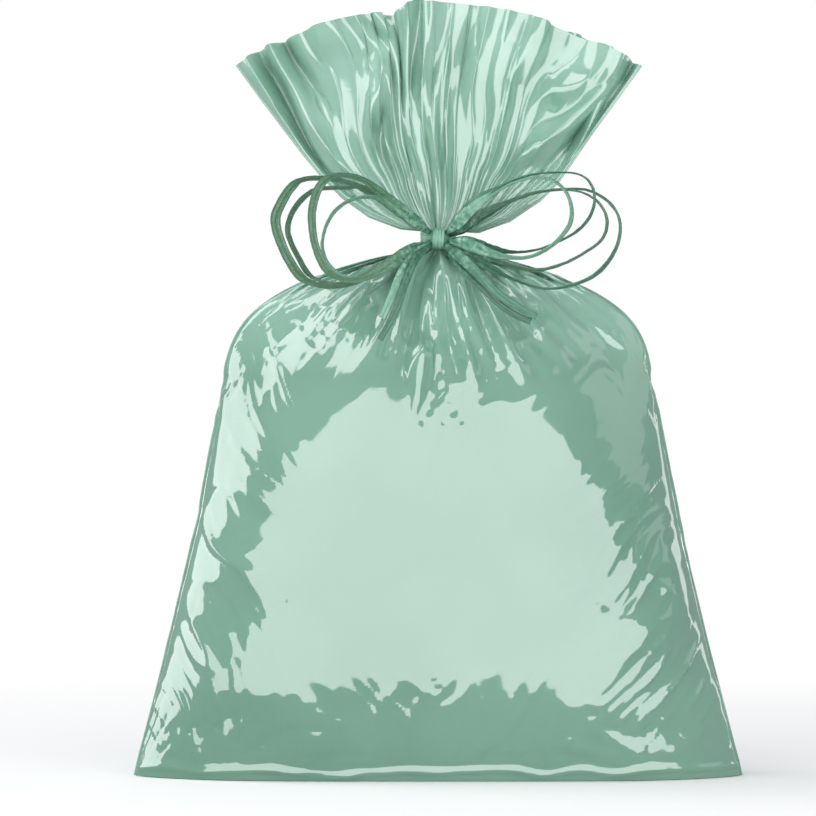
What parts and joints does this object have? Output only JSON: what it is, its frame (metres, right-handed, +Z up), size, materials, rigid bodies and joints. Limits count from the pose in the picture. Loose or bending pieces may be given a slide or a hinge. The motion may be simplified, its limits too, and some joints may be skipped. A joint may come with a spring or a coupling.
{
  "type": "gift sack",
  "caption": "Flat film gift sack, stuffed and standing, with a gathered neck, a flared pleated top and a looped raffia bow.",
  "frame": {"origin": "centre of the base, on the surface that the sack stands on", "axes": "+Z up along the neck, front with the bow faces -Y, +X to the right seen from the front"},
  "size_m": [0.302, 0.124, 0.386],
  "materials": {
    "sack_film": "pearlised film, mirror gloss",
    "weld_film": "heat-sealed double film",
    "raffia": "ribbed synthetic raffia",
    "stuffing": "crumpled tissue"
  },
  "bodies": {
    "sack": {"front_panel": "sack_film", "back_panel": "sack_film", "base_panel": "sack_film", "left_side_weld": "weld_film", "right_side_weld": "weld_film", "stuffing": "stuffing", "neck_gather": "sack_film"},
    "flare": {"flare_front": "sack_film", "flare_back": "sack_film", "flare_left_weld": "weld_film", "flare_right_weld": "weld_film"},
    "bow": {"neck_tie": "raffia", "bow_core": "raffia", "knot_wrap": "raffia"},
    "left_loop_1": {"left_loop_1": "raffia"},
    "left_loop_2": {"left_loop_2": "raffia"},
    "left_loop_3": {"left_loop_3": "raffia"},
    "left_loop_4": {"left_loop_4": "raffia"},
    "right_loop_1": {"right_loop_1": "raffia"},
    "right_loop_2": {"right_loop_2": "raffia"},
    "right_loop_3": {"right_loop_3": "raffia"},
    "right_loop_4": {"right_loop_4": "raffia"},
    "left_tail_1": {"left_tail_1": "raffia"},
    "left_tail_2": {"left_tail_2": "raffia"},
    "right_tail_1": {"right_tail_1": "raffia"},
    "right_tail_2": {"right_tail_2": "raffia"}
  },
  "joints": [
    {"name": "flare_tilt", "type": "hinge", "parent": "sack", "child": "flare", "pos_m": [0, 0, 0.2716], "axis": [1, 0, 0], "range_deg": [-30, 15]},
    {"name": "bow_swivel", "type": "hinge", "parent": "sack", "child": "bow", "pos_m": [0, 0, 0.2668], "axis": [0, 0, 1], "range_deg": [-8, 8]},
    {"name": "left_loop_1_swing", "type": "hinge", "parent": "bow", "child": "left_loop_1", "pos_m": [0, -0.0157, 0.2668], "axis": [0, 1, 0], "range_deg": [-4, 15]},
    {"name": "left_loop_2_swing", "type": "hinge", "parent": "bow", "child": "left_loop_2", "pos_m": [0, -0.0157, 0.2668], "axis": [0, 1, 0], "range_deg": [-4, 15]},
    {"name": "left_loop_3_swing", "type": "hinge", "parent": "bow", "child": "left_loop_3", "pos_m": [0, -0.0157, 0.2668], "axis": [0, 1, 0], "range_deg": [-4, 15]},
    {"name": "left_loop_4_swing", "type": "hinge", "parent": "bow", "child": "left_loop_4", "pos_m": [0, -0.0157, 0.2668], "axis": [0, 1, 0], "range_deg": [-4, 15]},
    {"name": "right_loop_1_swing", "type": "hinge", "parent": "bow", "child": "right_loop_1", "pos_m": [0, -0.0157, 0.2668], "axis": [0, -1, 0], "range_deg": [-4, 15]},
    {"name": "right_loop_2_swing", "type": "hinge", "parent": "bow", "child": "right_loop_2", "pos_m": [0, -0.0157, 0.2668], "axis": [0, -1, 0], "range_deg": [-4, 15]},
    {"name": "right_loop_3_swing", "type": "hinge", "parent": "bow", "child": "right_loop_3", "pos_m": [0, -0.0157, 0.2668], "axis": [0, -1, 0], "range_deg": [-4, 15]},
    {"name": "right_loop_4_swing", "type": "hinge", "parent": "bow", "child": "right_loop_4", "pos_m": [0, -0.0157, 0.2668], "axis": [0, -1, 0], "range_deg": [-4, 15]},
    {"name": "left_tail_1_swing", "type": "hinge", "parent": "bow", "child": "left_tail_1", "pos_m": [0, -0.0157, 0.2668], "axis": [0, 1, 0], "range_deg": [-10, 8]},
    {"name": "left_tail_2_swing", "type": "hinge", "parent": "bow", "child": "left_tail_2", "pos_m": [0, -0.0157, 0.2668], "axis": [0, 1, 0], "range_deg": [-10, 8]},
    {"name": "right_tail_1_swing", "type": "hinge", "parent": "bow", "child": "right_tail_1", "pos_m": [0, -0.0157, 0.2668], "axis": [0, -1, 0], "range_deg": [-10, 8]},
    {"name": "right_tail_2_swing", "type": "hinge", "parent": "bow", "child": "right_tail_2", "pos_m": [0, -0.0157, 0.2668], "axis": [0, -1, 0], "range_deg": [-10, 8]}
  ]
}
